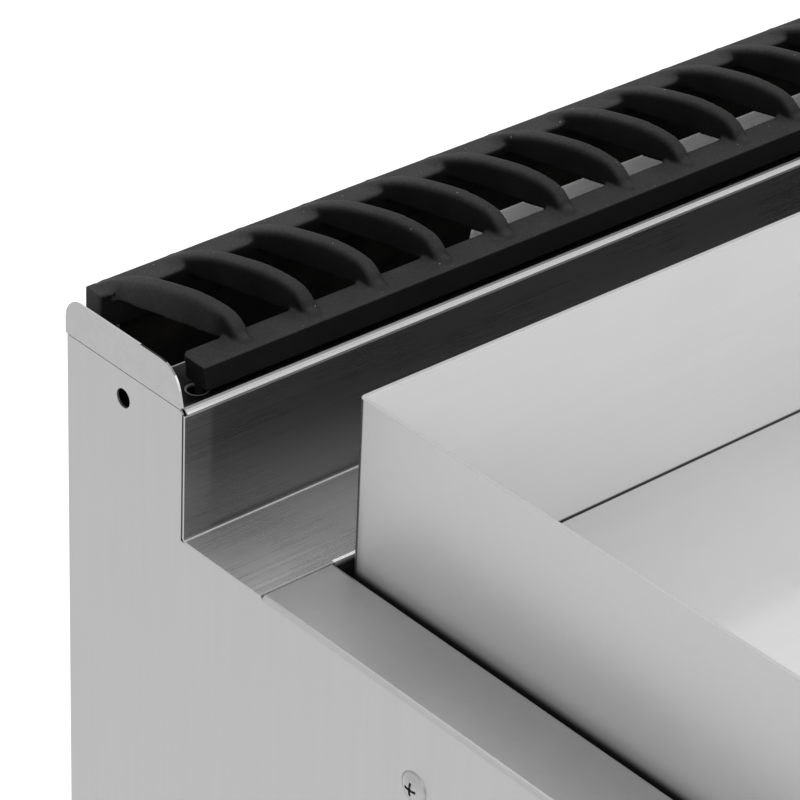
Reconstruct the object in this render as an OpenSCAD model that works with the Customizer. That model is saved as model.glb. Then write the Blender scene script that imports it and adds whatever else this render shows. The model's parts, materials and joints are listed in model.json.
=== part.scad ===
// Free-standing gas griddle station on a closed cabinet, with a cast flue grille at the rear.
// Millimetres. X runs to the right, the front faces -Y, Z is up, and the floor is at zero.
// The origin is below the middle of the whole outline.

/* [Body] */
// Width over the side panels
body_w = 800; // [780:10:1000]
// Depth from the rear edge of the side panels to the front face
body_d = 700; // [680:10:800]
// Height of the worktop above the floor
worktop_z = 850; // [840:5:950]
// Clear height under the cabinet
leg_h = 150; // [130:5:180]
// Thickness of the cabinet sheets
sheet_t = 1.2; // [1:0.1:1.5]
// Thickness of the worktop and flue sheet
top_t = 1; // [0.8:0.1:1.2]

/* [Flue] */
// Depth of the flue shelf, rear edge to front wall
flue_d = 80; // [76:1:95]
// Height of the flue shelf above the worktop
flue_rise = 63.7; // [50:0.1:90]
// Height of the cheeks above the shelf
cheek_h = 17.2; // [14:0.1:22]
// How far the cheeks stand out behind the side panels
cheek_out = 1.2; // [0.5:0.1:2]
// Depth of the worktop strip in front of the flue
rear_strip_d = 51; // [45:1:70]

/* [Flue grille] */
// Pitch of the hooped ribs
rib_pitch = 36.8; // [30:0.1:50]
// Thickness of a rib
rib_t = 8; // [6:0.5:10]
// Slope of a rib across the grille, sideways per unit of depth
rib_slant_share = 0.38; // [0:0.01:0.4]
// Height of the ridge above the flue shelf
ridge_h = 28.7; // [22:0.1:30]
// Width of the front bar
front_bar_w = 15.6; // [12:0.1:17]
// Width of the rear bar
rear_bar_w = 13.5; // [11:0.5:15]

/* [Cooking plate] */
// Thickness of the plate
plate_t = 20; // [16:1:22]
// Depth of the plate's surface below the worktop
plate_sink = 26.3; // [22:0.1:30]
// Height of the splash guard above the worktop
guard_rise = 81.5; // [60:0.5:110]
// Thickness of the splash guard
guard_t = 2; // [1.5:0.5:3]
// Distance from the side panel's outer face to the splash guard
guard_in = 44.3; // [42:0.1:50]
// Front-to-rear width of the grease trough
trough_w = 40; // [34:1:50]

/* [Burners] */
// Outer radius of a burner tube
burner_r = 16; // [13:0.5:18]
// Distance between the two tubes of one burner
burner_pitch = 150; // [110:5:160]
// Drop from the plate's underside to the burner's middle
burner_drop = 84; // [80:1:90]
// Number of flame slots along one tube
slot_count = 14; // [6:1:20]

/* [Controls] */
// Distance of each knob from the middle
knob_x = 250; // [235:5:270]
// Radius of the knob's skirt
knob_r = 29; // [24:1:32]
// How far the knobs stand out of the front
knob_out = 40; // [34:1:46]
// Travel of a pushed knob
knob_push = 3; // [2:0.5:4]
// Travel of the igniter button
button_push = 5; // [3:0.5:6]

/* [Drawer and doors] */
// Width of the grease drawer's body
drawer_w = 260; // [200:5:280]
// Depth of the grease drawer, front to rear
drawer_l = 380; // [300:5:420]
// Height of the grease drawer's walls
drawer_h = 50; // [40:1:52]
// Thickness of a door
door_t = 18; // [16:1:22]
// Radius of the hinge pins
pin_r = 3; // [2.5:0.1:3.5]
// Length of a door's bar handle
handle_l = 140; // [100:5:200]

/* [Feet] */
// Radius of a foot's column
foot_r = 20; // [16:1:21]
// Radius of a foot's pad
pad_r = 30; // [26:1:34]
// Travel of a foot each way from its middle setting
foot_travel = 25; // [15:1:28]

/* [Hidden] */
$fn = 48;

// Finishes
satin = [0.74, 0.74, 0.74];
bright = [0.84, 0.84, 0.83];
dark_steel = [0.32, 0.32, 0.32];
cast = [0.13, 0.13, 0.13];
plate_grey = [0.66, 0.66, 0.65];
brass = [0.72, 0.57, 0.27];
black = [0.07, 0.07, 0.07];
ceramic = [0.9, 0.89, 0.85];
copper = [0.7, 0.42, 0.28];

// Fits and small shares of room
cut = 1;
seat_gap = 0.3;
run_gap = 0.05;
bend_steps = 5;
tight_bend = 1.7;

// Levels above the floor
shelf_z = worktop_z + flue_rise;
plate_top = worktop_z - plate_sink;
plate_bot = plate_top - plate_t;
fire_t = 1.5;
fire_h = 114;
fire_bot = plate_bot - fire_h;
burner_z = plate_bot - burner_drop;
shield_drop = 89;
shield_top = fire_bot - shield_drop + sheet_t;
rail_h = 30;
door_lap = 15;
door_top = shield_top + door_lap;
panel_gap = 5;
panel_bot = door_top + panel_gap;
panel_top = worktop_z - rail_h - seat_gap;
knob_drop = 42;
knob_z = worktop_z - rail_h - knob_drop;

// Planes from front to rear
y_back = (body_d + knob_out - cheek_out) / 2;
y_front = y_back - body_d;
flue_front = y_back - flue_d;
cut_rear = flue_front - rear_strip_d;
front_strip_d = 59;
cut_front = y_front + front_strip_d;
door_gap = 5;
side_front = y_front + door_t + door_gap;
guard_gap = 4.9;
guard_rear = cut_rear - guard_gap;
guard_front = cut_front + guard_gap;
plate_rear = guard_rear - guard_t - seat_gap;
plate_lap = 6;
plate_front = guard_front + trough_w;
fire_inset = 6;
fire_front = plate_front + plate_lap + fire_inset;
fire_rear = guard_rear - fire_inset;

// Planes across the width
half_w = body_w / 2;
inner_x = half_w - sheet_t;
fit_x = inner_x - seat_gap;
cut_x = 39.4;
guard_x = half_w - guard_in;
plate_x = guard_x - guard_t - seat_gap;
fire_x = plate_x - fire_inset;
zone_x = plate_x / 2;

// Extrudes an outline drawn in Y and Z from x0 to x1
module along_x(x0, x1) translate([x0, 0, 0]) rotate([90, 0, 90]) linear_extrude(x1 - x0) children();

// Extrudes an outline drawn in X and Z from y0 to y1
module along_y(y0, y1) translate([0, y1, 0]) rotate([90, 0, 0]) linear_extrude(y1 - y0) children();

// Extrudes an outline drawn in X and Y from z0 to z1
module along_z(z0, z1) translate([0, 0, z0]) linear_extrude(z1 - z0) children();

// A block between two opposite corners
module block(low, high) translate(low) cube(high - low);

// A round bar between two values on one axis
module bar_x(x0, x1, y, z, r) translate([x0, y, z]) rotate([0, 90, 0]) cylinder(h = x1 - x0, r = r);
module bar_y(x, y0, y1, z, r) translate([x, y1, z]) rotate([90, 0, 0]) cylinder(h = y1 - y0, r = r);
module bar_z(x, y, z0, z1, r) translate([x, y, z0]) cylinder(h = z1 - z0, r = r);

// A hexagon bar between two values of Y
module hex_y(x, y0, y1, z, r) translate([x, y1, z]) rotate([90, 0, 0]) cylinder(h = y1 - y0, r = r, $fn = 6);

// The same piece on the left and on the right
module pair() {
    children();
    mirror([1, 0, 0]) children();
}

function unit(v) = v / norm(v);
function left_of(v) = [-v[1], v[0]];
function corner_turn(a, b) = a[0] * b[1] - a[1] * b[0] > 0 ? 1 : -1;
function arc(c, r, a0, turn) = [
    for (i = [0:bend_steps]) c + r * [cos(a0 + turn * i / bend_steps), sin(a0 + turn * i / bend_steps)]
];

// The bend of a sheet at corner q between p and n, on the side that lies off from the middle
function bend(p, q, n, r, off) = let (
    a = unit(q - p),
    b = unit(n - q),
    s = corner_turn(a, b),
    turn = acos(a * b),
    c = q - a * r * tan(turn / 2) + s * r * left_of(a),
    start = atan2(-s * left_of(a)[1], -s * left_of(a)[0])
) arc(c, r - s * off, start, s * turn);

function sheet_side(path, r, off) = let (last = len(path) - 1) concat(
    [path[0] + off * left_of(unit(path[1] - path[0]))],
    [for (i = [1:1:last - 1]) each bend(path[i - 1], path[i], path[i + 1], r, off)],
    [path[last] + off * left_of(unit(path[last] - path[last - 1]))]
);

function backwards(list) = [for (i = [len(list) - 1:-1:0]) list[i]];

// The cut end of a folded sheet of thickness t, whose middle follows a path of corners
module folded(path, t, r = tight_bend) {
    polygon(concat(sheet_side(path, r, t / 2), backwards(sheet_side(path, r, -t / 2))));
}

// A closed outline whose corners each have a radius of their own
function rounded(points, radii) = let (n = len(points)) [
    for (i = [0:n - 1]) each radii[i] > 0
        ? bend(points[(i + n - 1) % n], points[i], points[(i + 1) % n], radii[i], 0)
        : [points[i]]
];

// A rectangle with four equal round corners
module round_rect(low, high, r) {
    polygon(rounded([low, [high[0], low[1]], high, [low[0], high[1]]], [r, r, r, r]));
}

// Side panels

flange_w = 60;
return_w = 25;
rear_return_w = 15;
lip_h = 15;
wall_gap = 1;
side_corner = 1.6;
side_screw_drop = 39;
side_screw_z = worktop_z - side_screw_drop;
side_screw_back = 228;
side_screw_front = 560;
side_screw_ys = [y_back - side_screw_back, y_back - side_screw_front];
screw_r = 3;
screw_hole_r = 3.3;
join_hole_r = 4.5;
join_hole_back = 38.6;
join_hole_drop = 14.2;
base_top = leg_h + sheet_t + sheet_t;
flange_gap = 0.2;

module side_sheet() {
    flange_front = cut_front + flange_gap;
    flange_rear = cut_rear - flange_gap;
    bend_z = worktop_z - tight_bend - sheet_t / 2;
    wall_back = flue_front + top_t + wall_gap;
    side_top = shelf_z - top_t - seat_gap;
    along_x(-half_w, -inner_x) polygon([
        [side_front, leg_h], [y_back, leg_h], [y_back, side_top], [wall_back + side_corner, side_top],
        [wall_back, side_top - side_corner], [wall_back, worktop_z - top_t],
        [flange_rear, worktop_z - top_t], [flange_rear, bend_z], [flange_front, bend_z],
        [flange_front, worktop_z - top_t], [side_front, worktop_z - top_t]
    ]);
}

module left_side() {
    mid = sheet_t / 2;
    top_mid = worktop_z - mid;
    bend_z = top_mid - tight_bend;
    difference() {
        union() {
            side_sheet();
            along_y(cut_front + flange_gap, cut_rear - flange_gap) folded([
                [mid - half_w, bend_z], [mid - half_w, top_mid],
                [cut_x - mid - half_w, top_mid], [cut_x - mid - half_w, top_mid - lip_h]
            ], sheet_t);
            block([-half_w, side_front, leg_h], [flange_w - half_w, y_back, leg_h + sheet_t]);
            block(
                [-half_w, side_front, base_top + seat_gap],
                [return_w - half_w, side_front + sheet_t, worktop_z - rail_h]
            );
            block(
                [-half_w, y_back - sheet_t, base_top + seat_gap],
                [rear_return_w - half_w, y_back, worktop_z]
            );
        }
        bar_x(-half_w - cut, cut - inner_x, y_back - join_hole_back, shelf_z - join_hole_drop, join_hole_r);
        for (y = side_screw_ys) bar_x(-half_w - cut, cut - inner_x, y, side_screw_z, screw_hole_r);
    }
}

module left_side_panel() color(satin) left_side();
module right_side_panel() color(satin) mirror([1, 0, 0]) left_side();

// Truss-head screws with a cross recess, each with its nut inside

head_r = 7.5;
head_h = 2.6;
recess_l = 6.5;
recess_w = 1.3;
recess_d = 1.6;
nut_flats_r = 5.77;
nut_h = 5;
bearer_t = 2;
screw_tail = 3;

module truss_head() {
    dome_r = (head_r * head_r + head_h * head_h) / (2 * head_h);
    difference() {
        intersection() {
            translate([0, 0, head_h - dome_r]) sphere(dome_r, $fn = 96);
            cylinder(h = head_h + cut, r = head_r);
        }
        for (a = [0, 90]) rotate(a) translate([0, 0, head_h - recess_d / 2 + cut / 2])
            cube([recess_l, recess_w, recess_d + cut], center = true);
    }
}

module side_screw(y) translate([-half_w, y, side_screw_z]) rotate([0, -90, 0]) {
    truss_head();
    inside = sheet_t + bearer_t;
    translate([0, 0, -inside - nut_h - screw_tail]) cylinder(h = inside + nut_h + screw_tail, r = screw_r);
    translate([0, 0, -inside - nut_h]) difference() {
        cylinder(h = nut_h, r = nut_flats_r, $fn = 6);
        translate([0, 0, -cut]) cylinder(h = nut_h + cut + cut, r = screw_r + run_gap);
    }
}

module side_screws() color(bright) pair() for (y = side_screw_ys) side_screw(y);

// Cabinet floor, back and rear cover

vent_l = 60;
vent_w = 6;
vent_pitch = 14;
vent_rows = 6;
vent_x = 180;
vent_z_share = 0.3;
recess_y = 25;
back_split_rise = 30;
back_split = fire_bot + back_split_rise;
inlet_in = 28;
inlet_x = half_w - inlet_in;
inlet_z = fire_bot;
inlet_hole_r = 13;
base_over = 4;

module base_panel() color(satin) {
    block(
        [-fit_x, side_front - base_over, leg_h + sheet_t],
        [fit_x, y_back - sheet_t - seat_gap, base_top]
    );
}

module back_panel() color(satin) difference() {
    block([-fit_x, y_back - recess_y - sheet_t, base_top], [fit_x, y_back - recess_y, back_split]);
    bar_y(inlet_x, y_back - recess_y - sheet_t - cut, y_back, inlet_z, inlet_hole_r);
    for (side = [-1, 1]) for (row = [0:vent_rows - 1])
        translate([side * vent_x, 0, base_top + (back_split - base_top) * vent_z_share + row * vent_pitch])
            along_y(y_back - recess_y - sheet_t - cut, y_back)
                round_rect([-vent_l / 2, -vent_w / 2], [vent_l / 2, vent_w / 2], vent_w / 2 - run_gap);
}

module rear_cover() color(satin) {
    mid_y = y_back - sheet_t - sheet_t / 2;
    along_x(-fit_x, fit_x) folded([
        [mid_y, shelf_z - top_t - tight_bend - seat_gap], [mid_y, back_split + sheet_t / 2],
        [y_back - recess_y - sheet_t, back_split + sheet_t / 2]
    ], sheet_t);
}

// Flue shelf, flue wall and rear worktop strip in one folded sheet, with a cheek at each end

fold_h = 20;
end_gap = 1.2;
opening_front = 49;
opening_rear = 5.4;
opening_in = 17;
opening_rear_r = 12;
opening_front_r = 1;
peg_hole_r = 4.5;
peg_in = 14.5;
peg_back = 69.6;
cheek_rear_r = 10;
cheek_front_r = 13;
cheek_front_back = 1.8;
cheek_lean = 4.5;
cheek_foot_r = 1;
shelf_bend = 3.1;
relief = 2.8;
relief_w = 1.5;

module cheek() {
    front = flue_front + cheek_front_back;
    along_x(-half_w, top_t - half_w) polygon(rounded([
        [front, shelf_z - top_t], [y_back + cheek_out, shelf_z - top_t],
        [y_back + cheek_out, shelf_z + cheek_h], [front + cheek_lean, shelf_z + cheek_h]
    ], [0, cheek_foot_r, cheek_rear_r, cheek_front_r]));
}

module flue_top() color(dark_steel) {
    mid = top_t / 2;
    end_x = inner_x - end_gap;
    fold_x = half_w - cut_x;
    strip_end = cut_rear + mid + tight_bend;
    wall_mid = (shelf_z + worktop_z) / 2;
    opening_x = half_w - opening_in;
    difference() {
        union() {
            along_x(-half_w, half_w) folded([
                [y_back - mid - tight_bend, shelf_z - mid], [flue_front + mid, shelf_z - mid],
                [flue_front + mid, wall_mid - cut]
            ], top_t, shelf_bend);
            along_x(-half_w, half_w) folded([
                [flue_front + mid, wall_mid], [flue_front + mid, worktop_z - mid],
                [strip_end, worktop_z - mid]
            ], top_t);
            along_x(-end_x, end_x) folded([
                [y_back - flue_d / 2, shelf_z - mid], [y_back - mid, shelf_z - mid],
                [y_back - mid, shelf_z - fold_h]
            ], top_t);
            along_x(-fold_x, fold_x) folded([
                [flue_front - tight_bend, worktop_z - mid], [cut_rear + mid, worktop_z - mid],
                [cut_rear + mid, worktop_z - fold_h]
            ], top_t);
            pair() {
                block([-half_w, cut_rear, worktop_z - top_t], [-fold_x, strip_end, worktop_z]);
                cheek();
            }
        }
        pair() block(
            [-half_w - cut, flue_front - cut, shelf_z - relief],
            [relief_w - half_w, flue_front + relief, shelf_z]
        );
        along_z(shelf_z - top_t - cut, shelf_z + cut) polygon(rounded([
            [-opening_x, y_back - opening_front], [opening_x, y_back - opening_front],
            [opening_x, y_back - opening_rear], [-opening_x, y_back - opening_rear]
        ], [opening_front_r, opening_front_r, opening_rear_r, opening_rear_r]));
        pair() bar_z(peg_in - half_w, y_back - peg_back, shelf_z - top_t - cut, shelf_z + cut, peg_hole_r);
    }
}

// Front worktop strip with its rounded front edge and its end caps

front_bend = 6;
cap_gap = 0.3;

module front_worktop() color(satin) {
    mid = top_t / 2;
    cap_back = side_front - cap_gap;
    along_x(-fit_x, fit_x) folded([
        [cut_front - mid, worktop_z - lip_h], [cut_front - mid, worktop_z - mid],
        [y_front + front_bend, worktop_z - mid]
    ], top_t);
    block(
        [-half_w, y_front + front_bend, worktop_z - top_t],
        [half_w, cut_front - mid - tight_bend, worktop_z]
    );
    along_x(-half_w, half_w) folded([
        [y_front + front_bend + front_bend, worktop_z - mid], [y_front + mid, worktop_z - mid],
        [y_front + mid, worktop_z - rail_h + mid], [y_front + door_t, worktop_z - rail_h + mid]
    ], top_t, front_bend - mid);
    pair() along_x(-half_w, top_t - half_w) polygon(rounded([
        [y_front + mid, worktop_z - rail_h + mid], [cap_back, worktop_z - rail_h + mid],
        [cap_back, worktop_z - mid], [y_front + mid, worktop_z - mid]
    ], [front_bend - mid, 0, 0, front_bend - mid]));
}

// Control panel, a shallow pan with holes for the knobs, the igniter and the drawer

drawer_front_over = 15;
drawer_front_gap = 1.5;
drawer_front_drop = 5;
drawer_front_rise = 8;
runner_h = 30;
drawer_bot = shield_top + runner_h + seat_gap;
drawer_face_low = drawer_bot - drawer_front_drop;
drawer_face_high = drawer_bot + drawer_h + drawer_front_rise;
drawer_face_x = drawer_w / 2 + drawer_front_over;
spindle_hole_r = 6;
igniter_drop = 35;
igniter_z = knob_z - igniter_drop;
igniter_r = 9;
panel_return = 14;

module control_panel() color(satin) {
    mid = sheet_t / 2;
    difference() {
        union() {
            along_x(-half_w, half_w) folded([
                [y_front + panel_return, panel_top - mid], [y_front + mid, panel_top - mid],
                [y_front + mid, panel_bot + mid], [y_front + panel_return, panel_bot + mid]
            ], sheet_t);
            pair() block(
                [-half_w, y_front + mid, panel_bot + mid],
                [-inner_x, side_front - cap_gap, panel_top - mid]
            );
        }
        pair() bar_y(-knob_x, y_front - cut, y_front + sheet_t + cut, knob_z, spindle_hole_r);
        bar_y(0, y_front - cut, y_front + sheet_t + cut, igniter_z, igniter_r + seat_gap);
        block(
            [-drawer_face_x - drawer_front_gap, y_front - cut, drawer_face_low - drawer_front_gap],
            [drawer_face_x + drawer_front_gap, y_front + sheet_t + cut, drawer_face_high + drawer_front_gap]
        );
    }
}

// Heat shield between the burners and the cabinet, and the bearers of the plate

shield_side = 20;
shield_front = side_front + panel_gap;

module heat_shield() color(satin) {
    mid = sheet_t / 2;
    x = inner_x - mid;
    along_y(shield_front, y_back - recess_y - sheet_t - seat_gap) folded([
        [-x, shield_top + shield_side], [-x, shield_top - mid], [x, shield_top - mid],
        [x, shield_top + shield_side]
    ], sheet_t);
}

bearer_up = 26;
bearer_in = 50;
bearer_top = plate_bot - fire_t;
bearer_gap = 2.1;
bearer_rear = 150;

module plate_bearers() color(satin) pair() difference() {
    mid = bearer_t / 2;
    along_y(plate_front + plate_lap + bearer_gap, y_back - bearer_rear) folded([
        [mid - inner_x, bearer_top + bearer_up], [mid - inner_x, bearer_top - mid],
        [bearer_in - half_w, bearer_top - mid]
    ], bearer_t);
    for (y = side_screw_ys) bar_x(-inner_x - cut, bearer_t + cut - inner_x, y, side_screw_z, screw_hole_r);
}

// Firebox under the plate, open below, with a flange that hangs on the bearers

flange_out = 17;
mixer_r = 13;
mixer_hole_r = 14;
outlet_x_share = 0.87;
outlet_low = 54;
outlet_high = 99;
electrode_r = 3.5;
electrode_x = zone_x + 30;
electrode_rise = 25;
probe_r = 2.5;
probe_x = zone_x - 30;
probe_rise = 35;
wall_hole_gap = 0.3;

module firebox() color(dark_steel) difference() {
    union() {
        along_z(fire_bot, plate_bot) difference() {
            translate([-fire_x, fire_front]) square([2 * fire_x, fire_rear - fire_front]);
            translate([fire_t - fire_x, fire_front + fire_t])
                square([2 * (fire_x - fire_t), fire_rear - fire_front - 2 * fire_t]);
        }
        along_z(plate_bot - fire_t, plate_bot) difference() {
            translate([-fire_x - flange_out, fire_front])
                square([2 * (fire_x + flange_out), fire_rear - fire_front + flange_out / 2]);
            translate([fire_t - fire_x, fire_front - cut])
                square([2 * (fire_x - fire_t), fire_rear - fire_front - fire_t + cut]);
        }
    }
    pair() {
        bar_y(-zone_x, fire_front - cut, fire_front + fire_t + cut, burner_z, mixer_hole_r);
        bar_y(-electrode_x, fire_front - cut, fire_front + fire_t + cut, burner_z + electrode_rise,
            electrode_r + wall_hole_gap);
        bar_y(-probe_x, fire_front - cut, fire_front + fire_t + cut, burner_z + probe_rise,
            probe_r + wall_hole_gap);
    }
    block(
        [-fire_x * outlet_x_share, fire_rear - fire_t - cut, fire_bot + outlet_low],
        [fire_x * outlet_x_share, fire_rear + cut, fire_bot + outlet_high]
    );
}

// Cooking plate, splash guard and grease trough

module griddle_plate() color(plate_grey) {
    block([-plate_x, plate_front, plate_bot], [plate_x, plate_rear, plate_top]);
}

guard_bend = 2;
guard_slope = 76;
guard_nose = 20;

module splash_guard() color(bright) {
    mid = guard_t / 2;
    top = worktop_z + guard_rise;
    difference() {
        along_z(plate_bot, top) folded([
            [mid - guard_x, guard_front], [mid - guard_x, guard_rear - mid],
            [guard_x - mid, guard_rear - mid], [guard_x - mid, guard_front]
        ], guard_t, guard_bend);
        along_x(-guard_x - cut, guard_x + cut) polygon([
            [guard_front - cut, worktop_z + guard_nose], [guard_front, worktop_z + guard_nose],
            [guard_front + guard_slope, top], [guard_front + guard_slope, top + cut],
            [guard_front - cut, top + cut]
        ]);
    }
}

trough_t = 1.5;
trough_over = 14;
trough_sink = 65;
spout_r = 15;
spout_wall = 1.5;
spout_gap = 3;
spout_y = guard_front + (trough_w + plate_lap) / 2;

module grease_trough() color(bright) {
    mid = trough_t / 2;
    floor_z = worktop_z - trough_sink;
    rear_y = plate_front + plate_lap - mid;
    front_y = guard_front + mid;
    path = [
        [front_y - trough_over, worktop_z + mid], [front_y, worktop_z + mid],
        [front_y, floor_z + mid], [rear_y, floor_z + mid], [rear_y, plate_bot - seat_gap]
    ];
    difference() {
        union() {
            along_x(-plate_x, plate_x) folded(path, trough_t);
            pair() along_x(-plate_x, trough_t - plate_x) polygon([
                [front_y, floor_z + mid], [rear_y, floor_z + mid], [rear_y, plate_bot - seat_gap],
                [plate_front - seat_gap, plate_bot - seat_gap], [plate_front - seat_gap, plate_top],
                [front_y, plate_top]
            ]);
            bar_z(0, spout_y, drawer_bot + drawer_h + spout_gap, floor_z + mid, spout_r);
        }
        bar_z(0, spout_y, drawer_bot, floor_z + trough_t + cut, spout_r - spout_wall);
    }
}

// Flue duct from the firebox to the shelf, and the deflector plate inside it

duct_front = opening_front + sheet_t + seat_gap;
duct_rear = opening_rear - sheet_t - seat_gap / 2;
duct_x = half_w - opening_in + sheet_t + seat_gap / 2;
duct_drop = 6;

module flue_duct() color(dark_steel) {
    low = fire_bot + outlet_low;
    high = fire_bot + outlet_high;
    wide = fire_x * outlet_x_share;
    front_y = y_back - duct_front;
    rear_y = y_back - duct_rear;
    difference() {
        union() {
            block([-duct_x, front_y, low - duct_drop], [duct_x, rear_y, shelf_z - top_t]);
            block(
                [-wide - sheet_t, fire_rear, low - sheet_t],
                [wide + sheet_t, front_y + sheet_t, high + sheet_t]
            );
        }
        block(
            [sheet_t - duct_x, front_y + sheet_t, low - duct_drop + sheet_t],
            [duct_x - sheet_t, rear_y - sheet_t, shelf_z]
        );
        block([-wide, fire_rear - cut, low], [wide, front_y + sheet_t + cut, high]);
    }
}

deflector_in = 207;
deflector_back = 25;
deflector_drop = 5.7;
deflector_h = 118;
deflector_tail = 20;
deflector_r = 8;

module flue_deflector() color(satin) {
    mid = sheet_t / 2;
    top = shelf_z - deflector_drop;
    low = top - deflector_h;
    y = y_back - deflector_back;
    rear_y = y_back - duct_rear - sheet_t - mid;
    x = half_w - deflector_in;
    intersection() {
        along_x(-x, x) folded([
            [y, top], [y, low + mid], [rear_y, low + mid], [rear_y, low + deflector_tail]
        ], sheet_t);
        along_y(y - cut, y_back) polygon(rounded(
            [[-x, low - cut], [x, low - cut], [x, top], [-x, top]], [0, 0, deflector_r, deflector_r]
        ));
    }
}

// Cast flue grille, two long bars joined by slanted hooped ribs

grille_in = 10.5;
bar_lift = 2.5;
front_bar_h = 14.8;
rear_bar_h = 18.3;
front_bar_back = 61.3;
rear_bar_back = 0.3;
front_end_in = 1.5;
front_end_draft = 2;
bar_chamfer = 2.3;
end_drop = 1;
end_taper = 15;
end_w = 9.5;
peg_r = 2.2;
peg_l = 8;
peg_offset = 1.5;
foot_pad_r = 4;
rear_pad_in = 8;
front_pad_in = 17;
first_rib = 38.7;
rib_low = 13.3;
rib_rear_low = 16.5;
crown_share = 0.556;
rise_power = 2.6;
nose_steps = 10;
rib_foot = 70.2;
toe_r = 3.9;
toe_back = 70.5;
toe_h = 13.8;
rib_count = 1 + floor((body_w - first_rib - first_rib + front_bar_back * rib_slant_share) / rib_pitch);

// Height of a rib's ridge at distance u from the rear edge: a rise to the crown, then a round nose
function ridge(u, crown) = u < crown
    ? ridge_h - (ridge_h - rear_bar_h) * pow((crown - u) / crown, rise_power)
    : rib_low + (ridge_h - rib_low) * sqrt(max(0, 1 - pow((u - crown) / (rib_foot - crown), 2)));

module rib_outline() {
    crown = rib_foot * crown_share;
    steps = nose_steps + nose_steps;
    polygon(concat(
        [[rear_bar_back, rib_rear_low]],
        [for (i = [0:steps]) let (
            u = i < nose_steps ? rear_bar_back + (crown - rear_bar_back) * i / nose_steps
                : crown + (rib_foot - crown) * sin(90 * (i - nose_steps) / nose_steps)
        ) [u, ridge(u, crown)]]
    ));
}

// A rib's outline stood up at an angle to the depth, with its middle line through the bend above the bar
module rib_sheet(slant) {
    rotate([0, 0, slant - 90]) translate([-front_bar_back / cos(slant), 0, 0]) rotate([90, 0, 0])
        linear_extrude(rib_t, center = true) scale([1 / cos(slant), 1]) rib_outline();
}

// A rib runs slanted from the rear bar to the front bar, then straight on to its toe
module rib(x) translate([x - half_w, y_back - front_bar_back, shelf_z]) {
    intersection() {
        rib_sheet(atan(rib_slant_share));
        block([-rib_pitch, 0, 0], [rib_t, front_bar_back, ridge_h + cut]);
    }
    intersection() {
        rib_sheet(0);
        block([-rib_t, -front_bar_w, 0], [rib_t, cut, ridge_h + cut]);
    }
    translate([0, front_bar_back - toe_back, 0]) {
        translate([0, 0, rib_low]) cylinder(h = toe_h - rib_low, r = toe_r);
        translate([0, 0, toe_h]) sphere(toe_r);
    }
}

module front_bar(front_y, low) intersection() {
    x = half_w - grille_in - front_end_in;
    rear_y = front_y + front_bar_w;
    top = shelf_z + front_bar_h;
    along_y(front_y, rear_y) polygon([
        [front_end_draft - x, low], [x - front_end_draft, low], [x, top], [-x, top]
    ]);
    along_z(low, top) polygon([
        [-x, front_y], [x, front_y], [x, rear_y - bar_chamfer], [x - bar_chamfer, rear_y],
        [bar_chamfer - x, rear_y], [-x, rear_y - bar_chamfer]
    ]);
}

module rear_bar(rear_y, low) intersection() {
    x = half_w - grille_in;
    top = shelf_z + rear_bar_h;
    along_y(rear_y - rear_bar_w, rear_y) polygon([
        [-x, low], [x, low], [x, top - end_drop], [x - end_taper, top], [end_taper - x, top],
        [-x, top - end_drop]
    ]);
    along_z(low, top) polygon([
        [-x, rear_y], [-x, rear_y - end_w], [end_taper - x, rear_y - rear_bar_w],
        [x - end_taper, rear_y - rear_bar_w], [x, rear_y - end_w], [x, rear_y]
    ]);
}

module flue_grille() color(cast) {
    x = half_w - grille_in;
    low = shelf_z + bar_lift;
    front_y = y_back - front_bar_back - front_bar_w;
    rear_y = y_back - rear_bar_back;
    intersection() {
        union() {
            front_bar(front_y, low);
            rear_bar(rear_y, low);
            for (i = [0:rib_count - 1]) rib(first_rib + i * rib_pitch);
        }
        block([-x, front_y, low], [x, rear_y, shelf_z + ridge_h + cut]);
    }
    pair() {
        bar_z(peg_in + peg_offset - half_w, y_back - peg_back, shelf_z - peg_l, low, peg_r);
        bar_z(rear_pad_in - x, rear_y - end_w / 2, shelf_z, low, foot_pad_r);
        bar_z(front_pad_in - x, front_y + front_bar_w / 2, shelf_z, low, foot_pad_r);
    }
}

// Burners, one per cooking zone, each of two slotted tubes and a mixing tube

burner_wall = 1.5;
burner_front_in = 22;
burner_rear_in = 22;
mixer_out = 40;
mixer_wall = 1.5;
air_window = 10;
slot_w = 2;
slot_l = 14;
nozzle_r = 3;

module burner(x) {
    front = fire_front + burner_front_in;
    rear = fire_rear - burner_rear_in;
    mouth = fire_front - mixer_out;
    half = burner_pitch / 2;
    inner = burner_r - burner_wall;
    difference() {
        union() {
            for (side = [-half, half]) bar_y(x + side, front - burner_r, rear, burner_z, burner_r);
            bar_x(x - half, x + half, front, burner_z, burner_r);
            bar_y(x, mouth, front, burner_z, mixer_r);
        }
        for (side = [-half, half]) {
            bar_y(x + side, front - inner, rear - burner_wall, burner_z, inner);
            for (i = [0:slot_count - 1]) translate([
                x + side, front + burner_r + (rear - front - 2 * burner_r) * (i + 1 / 2) / slot_count,
                burner_z + burner_r
            ]) cube([slot_l, slot_w, burner_r], center = true);
        }
        bar_x(x - half, x + half, front, burner_z, inner);
        bar_y(x, mouth + mixer_wall, front, burner_z, mixer_r - mixer_wall);
        bar_y(x, mouth - cut, mouth + mixer_wall + cut, burner_z, nozzle_r + seat_gap);
        translate([x, mouth + air_window, burner_z])
            cube([2 * (mixer_r + cut), air_window, mixer_r], center = true);
    }
}

module left_burner() color(dark_steel) burner(-zone_x);
module right_burner() color(dark_steel) burner(zone_x);

rail_leg = 20;
rail_front_in = 40;
rail_rear_in = 45;

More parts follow.
